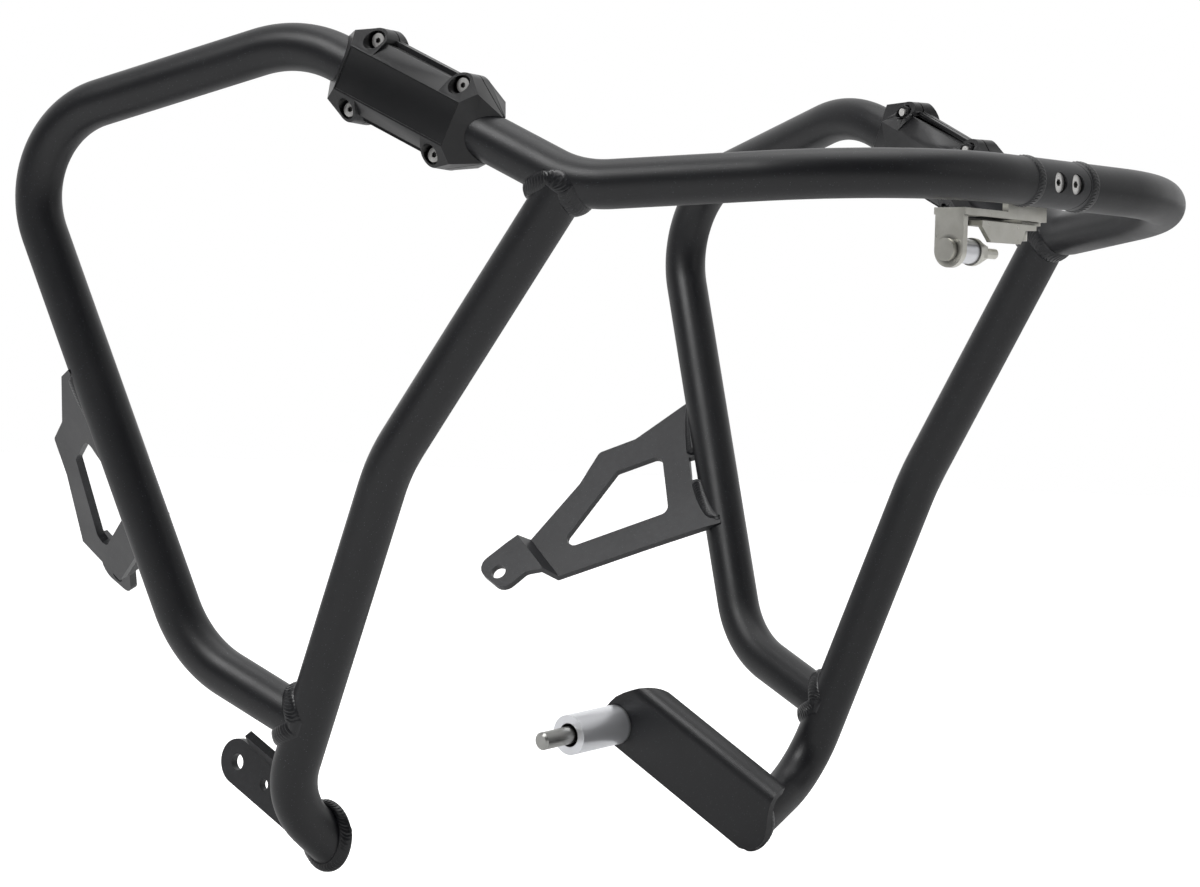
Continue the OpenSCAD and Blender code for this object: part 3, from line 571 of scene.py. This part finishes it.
def turned_group():
    """Fine turning lines round an axis, as a normal."""
    tree, start, end = group(
        "Tool Lines",
        [("NodeSocketVector", "Vector", None), ("NodeSocketFloat", "Scale", 900.0),
         ("NodeSocketFloat", "Strength", 0.25)],
        [("NodeSocketVector", "Normal"), ("NodeSocketFloat", "Mask")])
    lines = node(tree, "ShaderNodeTexWave", {
        "Vector": start.outputs["Vector"], "Scale": start.outputs["Scale"], "Distortion": 1.2,
        "Detail": 2.0}, bands_direction="X")
    bump = node(tree, "ShaderNodeBump", {
        "Height": lines.outputs["Fac"], "Strength": start.outputs["Strength"],
        "Distance": 0.00003})
    tree.links.new(bump.outputs["Normal"], end.inputs["Normal"])
    tree.links.new(lines.outputs["Fac"], end.inputs["Mask"])
    return tree


GROUPS = {}
MATERIALS = {}
# Brighter colour of the coat's flecks: their glints painted in
PAINTED_GLINT_COLOUR = (0.055, 0.06, 0.07)
# Dark colour painted into recesses as shade
PAINTED_SHADE_COLOUR = (0.012, 0.012, 0.013)


def use_group(tree, name, **inputs):
    """A shared node group in a material, with its inputs linked or filled."""
    made = tree.nodes.new("ShaderNodeGroup")
    made.node_tree = GROUPS[name]
    for key, value in inputs.items():
        label = key.replace("_", " ")
        if isinstance(value, bpy.types.NodeSocket):
            tree.links.new(value, made.inputs[label])
        else:
            made.inputs[label].default_value = value
    return made


def new_material(name):
    """A material with its shader and the object's own coordinates."""
    mat = bpy.data.materials.new(name)
    mat.use_nodes = True
    tree = mat.node_tree
    shader = tree.nodes["Principled BSDF"]
    where = tree.nodes.new("ShaderNodeTexCoord").outputs["Object"]
    return mat, tree, shader, where


def mix_colour(tree, factor, low, high):
    """A mix of two colours, each a socket or three values."""
    made = node(tree, "ShaderNodeMix", {"Factor": factor}, data_type="RGBA")
    for key, value in (("A", low), ("B", high)):
        socket = next(s for s in made.inputs if s.name == key and s.type == "RGBA")
        if isinstance(value, bpy.types.NodeSocket):
            tree.links.new(value, socket)
        else:
            socket.default_value = (*value, 1)
    return next(s for s in made.outputs if s.type == "RGBA")


def coat_material(name, colour, roughness, grain, grain_depth, edges, flecks=0):
    """A sprayed or moulded dark surface with grain, flecks whose glints are painted in, and paler edges
    that are a painted highlight.
    """
    mat, tree, shader, where = new_material(name)
    texture = use_group(tree, "Fine Grain", Vector=where, Scale=grain, Strength=grain_depth)
    uneven = use_group(tree, "Uneven", Vector=where, Low=roughness - 0.05, High=roughness + 0.06)
    # Convex edges are mixed towards the paler edges colour: a painted highlight
    edge_highlight = use_group(tree, "Painted Edge Highlight", Vector=where, Amount=0.6)
    tint = mix_colour(tree, edge_highlight.outputs["Mask"], colour, edges)
    # The coat's flecks get a brighter colour: their glints painted in
    if flecks:
        glint_dots = use_group(tree, "Painted Glint Fleck", Vector=where, Share=flecks)
        tint = mix_colour(tree, glint_dots.outputs["Mask"], tint, PAINTED_GLINT_COLOUR)
    tree.links.new(tint, shader.inputs["Base Color"])
    tree.links.new(uneven.outputs["Value"], shader.inputs["Roughness"])
    tree.links.new(texture.outputs["Normal"], shader.inputs["Normal"])
    return mat


def metal_material(name, colour, roughness, lines, line_depth, film=0.5, film_colour=None, metallic=1.0):
    """A bare or plated metal with fine lines, uneven gloss, a darker film and painted shade in its
    recesses.
    """
    mat, tree, shader, where = new_material(name)
    shader.inputs["Metallic"].default_value = metallic
    veil = use_group(tree, "Uneven", Vector=where, Scale=60.0, Low=0.0, High=film)
    tint = mix_colour(tree, veil.outputs["Value"], colour, film_colour or [c * 0.8 for c in colour])
    gloss = use_group(tree, "Uneven", Vector=where, Scale=90.0, Low=roughness - 0.08 * film,
                      High=roughness + 0.16 * film)
    cut = use_group(tree, "Tool Lines", Vector=where, Scale=lines, Strength=line_depth)
    # Sockets and corners are darkened from ambient occlusion: painted shade
    recess_shade = use_group(tree, "Painted Recess Shade")
    tint = mix_colour(tree, recess_shade.outputs["Mask"], tint, PAINTED_SHADE_COLOUR)
    tree.links.new(tint, shader.inputs["Base Color"])
    tree.links.new(gloss.outputs["Value"], shader.inputs["Roughness"])
    tree.links.new(cut.outputs["Normal"], shader.inputs["Normal"])
    return mat


def make_materials(settings):
    """Fills the tables of node groups and of materials, one for each finish."""
    GROUPS.update({
        "Fine Grain": grain_group(), "Painted Glint Fleck": painted_glint_group(), "Painted Edge Highlight": painted_edge_highlight_group(),
        "Uneven": cloud_group(), "Tool Lines": turned_group(), "Painted Recess Shade": painted_recess_shade_group()})
    coat, rough = tuple(settings.coat_colour), settings.coat_roughness
    # Each edges colour below is a paler painted highlight on convex edges
    MATERIALS.update({
        # flecks is the share of the coat's surface that gets painted glints
        "powder_coat": coat_material(
            "Powder Coat", coat, rough, grain=1900.0, grain_depth=0.3,
            edges=(0.03, 0.031, 0.036), flecks=0.006),
        "weld_coat": coat_material(
            "Weld Coat", coat, rough - 0.08, grain=1100.0, grain_depth=0.2,
            edges=(0.05, 0.05, 0.055), flecks=0.006),
        "pad_plastic": coat_material(
            "Pad Plastic", (0.0038, 0.0040, 0.0050), 0.33, grain=2600.0, grain_depth=0.2,
            edges=(0.03, 0.03, 0.032)),
        "bright_screws": metal_material(
            "Bright Screws", (0.88, 0.87, 0.85), 0.28, lines=200.0, line_depth=0.03, film=0.1,
            metallic=0.7),
        "bolt_steel": metal_material(
            "Bolt Steel", (0.40, 0.40, 0.385), 0.33, lines=180.0, line_depth=0.06),
        "turned_aluminium": metal_material(
            "Turned Aluminium", (0.84, 0.85, 0.88), 0.32, lines=140.0, line_depth=0.03, film=0.08,
            metallic=0.75),
        "zinc_plate": metal_material(
            "Zinc Plate", (0.74, 0.73, 0.68), 0.30, lines=200.0, line_depth=0.04, film=0.6,
            film_colour=(0.52, 0.51, 0.45), metallic=0.75),
    })


def finish_cad(name, slot, rounding=None):
    """Gives a shown CAD node its material, smooth shading and rounded edges."""
    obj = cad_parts[name]
    dress(obj, slot, rounding)


def stand_for(obj, nodes):
    """Ties a piece to the body and hides the CAD nodes that it replaces."""
    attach(obj, "root")
    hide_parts(*nodes)


def finish_piece(obj, slot, nodes, material=None):
    """Gives a swept piece its material and ties it to the part."""
    obj.data.materials.append(MATERIALS[material or slot])
    stand_for(obj, nodes)


def arm_point(x, s, off):
    """A point of the arm's folded sheet: x along it, s up its web and round its fold, off its middle."""
    fold_y, fold_z = ARM_WEB - ARM_LOW, FOLD_R - PLATE_T / 2
    quarter = FOLD_R * math.pi / 2
    if s <= ARM_WEB:
        y, z, out = s - ARM_LOW, -PLATE_T / 2, (0, -1)
    elif s <= ARM_WEB + quarter:
        q = (s - ARM_WEB) / FOLD_R
        out = (math.sin(q), -math.cos(q))
        y, z = fold_y + FOLD_R * out[0], fold_z + FOLD_R * out[1]
    else:
        y, z, out = fold_y + FOLD_R, fold_z + s - ARM_WEB - quarter, (1, 0)
    return ARM_AT + ARM_RUN * x + ARM_UP * (y + out[0] * off) + ARM_ACROSS * (z + out[1] * off)


def arm_sheet(name, rows=70, cols=72):
    """The left arm as one folded sheet with rounded ends."""
    points = []
    for off in (PLATE_T / 2, -PLATE_T / 2):
        for i in range(rows + 1):
            s = ARM_SHEET * i / rows
            k = max(j for j in range(len(ARM_ENDS) - 1) if ARM_ENDS[j][0] <= s)
            a, b = ARM_ENDS[k], ARM_ENDS[k + 1]
            f = min(1.0, (s - a[0]) / (b[0] - a[0]))
            near, far = a[1] + (b[1] - a[1]) * f, a[2] + (b[2] - a[2]) * f
            points += [to_frame(arm_point(near + (far - near) * j / cols, s, off))
                       for j in range(cols + 1)]
    wide = cols + 1
    back = (rows + 1) * wide
    faces = grid_faces(rows + 1, wide, close_cols=False)
    faces += [tuple(back + v for v in reversed(face)) for face in faces]
    rim = list(range(wide)) + [i * wide + cols for i in range(1, rows + 1)]
    rim += [rows * wide + j for j in range(cols - 1, -1, -1)]
    rim += [i * wide for i in range(rows - 1, 0, -1)]
    faces += [(a, back + a, back + b, b) for a, b in zip(rim, rim[1:] + rim[:1])]
    return mesh_object(name, points, faces, smooth=False)


def bored(obj, place, axis, radius):
    """Cuts a round hole through a piece."""
    bpy.ops.mesh.primitive_cylinder_add(vertices=64, radius=radius, depth=0.03, location=place)
    tool = bpy.context.object
    tool.rotation_mode = "QUATERNION"
    tool.rotation_quaternion = axis.to_track_quat("Z", "Y")
    cut = obj.modifiers.new("Bore", "BOOLEAN")
    cut.operation = "DIFFERENCE"
    cut.object = tool
    bpy.context.view_layer.update()
    shape = obj.evaluated_get(bpy.context.evaluated_depsgraph_get())
    mesh = bpy.data.meshes.new_from_object(shape)
    obj.modifiers.clear()
    obj.data = mesh
    bpy.data.objects.remove(tool, do_unlink=True)


def trimmed(name, cuts):
    """A copy of a CAD node's shape, cut off flat outside each (point, outward normal) in metres."""
    node_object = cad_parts[name]
    bm = bmesh.new()
    bm.from_mesh(node_object.data)
    bm.transform(node_object.matrix_world)
    bmesh.ops.remove_doubles(bm, verts=bm.verts, dist=1e-6)
    for place, normal in cuts:
        everything = bm.verts[:] + bm.edges[:] + bm.faces[:]
        cut = bmesh.ops.bisect_plane(bm, geom=everything, plane_co=place, plane_no=normal,
                                     dist=1e-7, clear_outer=True)
        rim = [part for part in cut["geom_cut"] if isinstance(part, bmesh.types.BMEdge)]
        bmesh.ops.triangle_fill(bm, edges=rim, use_beauty=True)
    bmesh.ops.recalc_face_normals(bm, faces=bm.faces)
    mesh = bpy.data.meshes.new(name + "_shape")
    bm.to_mesh(mesh)
    bm.free()
    obj = bpy.data.objects.new(name + "_shape", mesh)
    bpy.context.scene.collection.objects.link(obj)
    return obj


def dress(obj, material, rounding=None, segments=2):
    """Smooth shading, rounded edges and a material."""
    mesh = obj.data
    mesh.shade_smooth()
    mesh.set_sharp_from_angle(angle=math.radians(32))
    mesh.materials.clear()
    mesh.materials.append(MATERIALS[material])
    if rounding:
        bevel = obj.modifiers.new("Edges", "BEVEL")
        bevel.width = rounding
        bevel.segments = segments
        bevel.limit_method = "ANGLE"
        bevel.angle_limit = math.radians(35)
        bevel.harden_normals = True
        bevel.miter_outer = "MITER_ARC"


# Operators


class GUARD_OT_tubes(bpy.types.Operator):
    """Add the four bent tubes"""

    bl_idname = "guard.tubes"
    bl_label = "Add Tubes"
    bl_options = {"REGISTER", "UNDO"}

    def execute(self, context):
        s = context.scene.guard
        radius = s.tube_radius / MM
        pad_line, strut_line = joint_lines()
        for side_name, side in SIDES:
            start = SPLICE_X - side * SPLICE_LEN / 2
            line = centreline([Vector((start * side, 0, 0)), *LOOP, LOW_JOINT], LOOP_BENDS)
            obj = tube("main_tube_skin_" + side_name, line, side, radius, s.ring_points,
                       cut_end=cope(strut_line, radius))
            finish_piece(obj, "powder_coat", ["main_tube_" + side_name])
            foot, n = foot_end(side)
            lead = (foot - FOOT_BEND_AT).normalized()
            line = centreline([STRUT_TOP, KNEE, FOOT_BEND_AT, foot + lead * FOOT_SPARE], STRUT_BENDS)
            obj = tube("strut_tube_skin_" + side_name, line, side, radius, s.ring_points,
                       cut_start=cope(pad_line, radius), cut_end=mitre(foot, n))
            finish_piece(obj, "powder_coat", ["strut_tube_" + side_name])
        return {"FINISHED"}


class GUARD_OT_welds(bpy.types.Operator):
    """Add the weld beads at the joints, feet and splice"""

    bl_idname = "guard.welds"
    bl_label = "Add Welds"
    bl_options = {"REGISTER", "UNDO"}

    def execute(self, context):
        s = context.scene.guard
        radius, leg = s.tube_radius / MM, s.weld_leg / MM
        pitch, ripple = s.ripple_pitch / MM, s.ripple_height / MM
        count = ROUND_STEPS
        step = BRACKET_STEP
        pad_line, strut_line = joint_lines()
        for side_name, side in SIDES:
            size = (side, leg, pitch, ripple)
            top = saddle_roots(STRUT_TOP, (KNEE - STRUT_TOP).normalized(), pad_line, radius, leg, count)
            add_bead("top_bead_" + side_name, "top_weld_" + side_name,
                     *bead_mesh(top, *size, seed=3 + side))
            low = saddle_roots(LOW_JOINT, (LOOP[-1] - LOW_JOINT).normalized(), strut_line, radius, leg,
                               count)
            add_bead("low_bead_" + side_name, "low_weld_" + side_name,
                     *bead_mesh(low, *size, seed=13 + side))
            foot, n = foot_end(side)
            edge = Vector((0, -0.2, -1) if side == 1 else (0, -1, -0.3)).normalized()
            base = flat_roots(foot, (FOOT_BEND_AT - foot).normalized(), n, edge, radius, leg, count)
            add_bead("foot_bead_" + side_name, "plate_weld_right" if side == 1 else "arm_weld_left",
                     *bead_mesh(base, *size, seed=23 + side))
            hoop = hoop_roots(SPLICE_X - side * SPLICE_LEN / 2, radius, SPLICE_BEAD_WIDTH, count)
            add_bead("splice_bead_" + side_name, "splice_weld_" + side_name,
                     *bead_mesh(hoop, 1, SPLICE_BEAD_LEG, pitch, SPLICE_RIPPLE, seed=33 + side))
            points, faces = [], []
            for face in (-1, 1):
                for start, end in BRACKET_WELDS:
                    row = bracket_roots(start, end, face, radius, BRACKET_BEAD * leg, step)
                    more, shapes = bead_mesh(row, side, BRACKET_BEAD * leg, BRACKET_PITCH * pitch,
                                             BRACKET_BEAD * ripple, seed=43 + side, closed=False)
                    faces += [tuple(i + len(points) for i in shape) for shape in shapes]
                    points += more
            add_bead("bracket_bead_" + side_name, "bracket_weld_" + side_name, points, faces)
        return {"FINISHED"}


class GUARD_OT_plates(bpy.types.Operator):
    """Finish the brackets, the lower plate, the lower arm and the splice"""

    bl_idname = "guard.plates"
    bl_label = "Finish Plates"
    bl_options = {"REGISTER", "UNDO"}

    def execute(self, context):
        s = context.scene.guard
        for name in ("side_bracket_right", "side_bracket_left", "lower_plate_right",
                     "splice_half_front", "splice_half_rear"):
            finish_cad(name, "powder_coat", s.edge_round)
        arm = arm_sheet("lower_arm_sheet")
        hole = to_frame(arm_point(ARM_REACH, ARM_LOW + BOLT_DROP, 0))
        bored(arm, hole, BOLT_AXIS, BOLT_HOLE_R * MM)
        dress(arm, "powder_coat", s.edge_round)
        stand_for(arm, ["lower_arm_left"])
        return {"FINISHED"}


class GUARD_OT_pads(bpy.types.Operator):
    """Finish the crash pads and their screws"""

    bl_idname = "guard.pads"
    bl_label = "Finish Pads"
    bl_options = {"REGISTER", "UNDO"}

    def execute(self, context):
        s = context.scene.guard
        for side_name, side in SIDES:
            for shell, face, height in PAD_SHELLS:
                # The end faces slope from the panel right down to the parting plane
                cuts = []
                for end in (-1, 1):
                    corner = PAD_MIDDLE + PAD_DIR * end * PAD_SHOULDER + PAD_N * face * height
                    outward = (PAD_DIR * end * (height - PAD_END_HEIGHT)
                               + PAD_N * face * (PAD_END - PAD_SHOULDER))
                    outward = Vector((outward.x * side, outward.y, outward.z)).normalized()
                    cuts.append((to_frame(corner, side), outward))
                obj = trimmed(shell + side_name, cuts)
                dress(obj, "pad_plastic", 1.4 * s.edge_round, segments=3)
                stand_for(obj, [shell + side_name])
            finish_cad("pad_screws_" + side_name, "bright_screws")
            finish_cad("pad_nuts_" + side_name, "pad_plastic", 0.5 * s.edge_round)
        return {"FINISHED"}


class GUARD_OT_hardware(bpy.types.Operator):
    """Finish the bolts, the spacer and the hanger"""

    bl_idname = "guard.hardware"
    bl_label = "Finish Hardware"
    bl_options = {"REGISTER", "UNDO"}

    def execute(self, context):
        s = context.scene.guard
        finish_cad("splice_screws", "bright_screws", 0.3 * s.edge_round)
        finish_cad("engine_bolt_left", "bolt_steel", 0.5 * s.edge_round)
        finish_cad("spacer_left", "turned_aluminium", s.edge_round)
        finish_cad("hanger_spacer", "turned_aluminium", 0.5 * s.edge_round)
        for name in ("hanger_plate", "hanger_arm", "hanger_bolt", "hanger_nut", "hanger_clip"):
            finish_cad(name, "zinc_plate", s.edge_round)
        return {"FINISHED"}


def area_lamp(name, place, target, size, power):
    """A soft white lamp that points at target."""
    data = bpy.data.lights.new(name, "AREA")
    data.shape = "RECTANGLE"
    data.size, data.size_y = size
    data.energy = power
    lamp = bpy.data.objects.new(name, data)
    lamp.location = place
    lamp.rotation_mode = "QUATERNION"
    lamp.rotation_quaternion = (target - place).to_track_quat("-Z", "Y")
    bpy.context.scene.collection.objects.link(lamp)


def white_for_camera(tree, shader_socket, strength):
    """Adds a plain white to a shader that only the camera sees, also through a clear piece."""
    path = tree.nodes.new("ShaderNodeLightPath")
    seen = node(tree, "ShaderNodeMath", {
        0: path.outputs["Is Camera Ray"], 1: path.outputs["Is Transmission Ray"]}, operation="MAXIMUM")
    level = node(tree, "ShaderNodeMath", {0: seen.outputs[0], 1: strength}, operation="MULTIPLY")
    white = node(tree, "ShaderNodeEmission", {"Color": (1, 1, 1, 1), "Strength": level.outputs[0]})
    return node(tree, "ShaderNodeAddShader", {0: shader_socket, 1: white.outputs[0]})


def add_floor(z):
    """A wide pale floor that keeps the guard's shadow."""
    corners = ((-1, -1), (1, -1), (1, 1), (-1, 1))
    floor = mesh_object("floor", [Vector((x * FLOOR_HALF, y * FLOOR_HALF, z)) for x, y in corners],
                        [(0, 1, 2, 3)], smooth=False)
    mat, tree, shader, _ = new_material("Floor")
    shader.inputs["Base Color"].default_value = (0.86, 0.86, 0.86, 1)
    shader.inputs["Roughness"].default_value = 0.9
    shader.inputs["Specular IOR Level"].default_value = 0.1
    whitened = white_for_camera(tree, shader.outputs[0], FLOOR_WHITE)
    tree.links.new(whitened.outputs[0], tree.nodes["Material Output"].inputs["Surface"])
    floor.data.materials.append(mat)
    floor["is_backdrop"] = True


def add_world(scene, front, back):
    """White for the camera, and for the guard a light that grows from the front to the back."""
    world = bpy.data.worlds.new("Studio")
    scene.world = world
    world.use_nodes = True
    tree = world.node_tree
    even = tree.nodes["Background"]
    even.inputs["Color"].default_value = (1, 1, 1, 1)
    sky = tree.nodes.new("ShaderNodeTexCoord")
    facing = node(tree, "ShaderNodeVectorMath", {0: sky.outputs["Generated"], 1: TO_THE_BACK},
                  operation="DOT_PRODUCT")
    slope = node(tree, "ShaderNodeMapRange", {
        "Value": facing.outputs["Value"], "From Min": -0.4, "From Max": 0.9,
        "To Min": front, "To Max": back}, interpolation_type="SMOOTHSTEP")
    tree.links.new(slope.outputs[0], even.inputs["Strength"])
    path = tree.nodes.new("ShaderNodeLightPath")
    bright = node(tree, "ShaderNodeBackground", {"Color": (1, 1, 1, 1), "Strength": 1.0})
    mix = node(tree, "ShaderNodeMixShader", {
        0: path.outputs["Is Camera Ray"], 1: even.outputs[0], 2: bright.outputs[0]})
    tree.links.new(mix.outputs[0], tree.nodes["World Output"].inputs["Surface"])


def add_camera(scene):
    """The camera that took the photo, from its place, turn and focal length."""
    data = bpy.data.cameras.new("photo")
    data.sensor_fit = "HORIZONTAL"
    data.sensor_width = SENSOR
    data.lens = SENSOR * FOCAL_PER_WIDTH
    data.clip_end = 60
    camera = bpy.data.objects.new("photo", data)
    azimuth, elevation, roll = (math.radians(a) for a in CAMERA_TURN)
    back = Vector((math.sin(azimuth) * math.cos(elevation), -math.cos(azimuth) * math.cos(elevation),
                   math.sin(elevation)))
    level = Vector((math.cos(azimuth), math.sin(azimuth), 0))
    upright = back.cross(level)
    right = math.cos(roll) * level + math.sin(roll) * upright
    up = -math.sin(roll) * level + math.cos(roll) * upright
    place = to_frame(CAMERA_AT)
    camera.matrix_world = Matrix((
        (right.x, up.x, back.x, place.x), (right.y, up.y, back.y, place.y),
        (right.z, up.z, back.z, place.z), (0, 0, 0, 1)))
    scene.collection.objects.link(camera)
    scene.camera = camera


class GUARD_OT_stage(bpy.types.Operator):
    """Add the floor, the lamps, the world and the camera"""

    bl_idname = "guard.stage"
    bl_label = "Add Stage"
    bl_options = {"REGISTER", "UNDO"}

    def execute(self, context):
        s = context.scene.guard
        low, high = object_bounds()
        mid = (low + high) / 2
        add_floor(low.z - FLOOR_DROP)
        add_world(context.scene, s.front_level, s.world_level)
        for name, offset, size, power in LAMPS:
            area_lamp(name, mid + Vector(offset), mid, size, power * s.lamp_level)
        add_camera(context.scene)
        context.scene.view_settings.view_transform = "Standard"
        return {"FINISHED"}


class GUARD_PT_panel(bpy.types.Panel):
    """Buttons for building the guard"""

    bl_idname = "GUARD_PT_panel"
    bl_label = "Engine Guard"
    bl_space_type = "VIEW_3D"
    bl_region_type = "UI"
    bl_category = "Guard"

    def draw(self, context):
        layout = self.layout
        for name in GuardSettings.__annotations__:
            layout.prop(context.scene.guard, name)
        for op in OPERATORS:
            layout.operator(op.bl_idname)


OPERATORS = (GUARD_OT_tubes, GUARD_OT_welds, GUARD_OT_plates, GUARD_OT_pads, GUARD_OT_hardware,
             GUARD_OT_stage)
CLASSES = (GuardSettings, *OPERATORS, GUARD_PT_panel)


def register():
    for cls in CLASSES:
        bpy.utils.register_class(cls)
    bpy.types.Scene.guard = PointerProperty(type=GuardSettings)


def unregister():
    del bpy.types.Scene.guard
    for cls in reversed(CLASSES):
        bpy.utils.unregister_class(cls)


def main():
    register()
    make_materials(bpy.context.scene.guard)
    bpy.ops.guard.tubes()
    bpy.ops.guard.welds()
    bpy.ops.guard.plates()
    bpy.ops.guard.pads()
    bpy.ops.guard.hardware()
    bpy.ops.guard.stage()


if __name__ == "__main__":
    main()
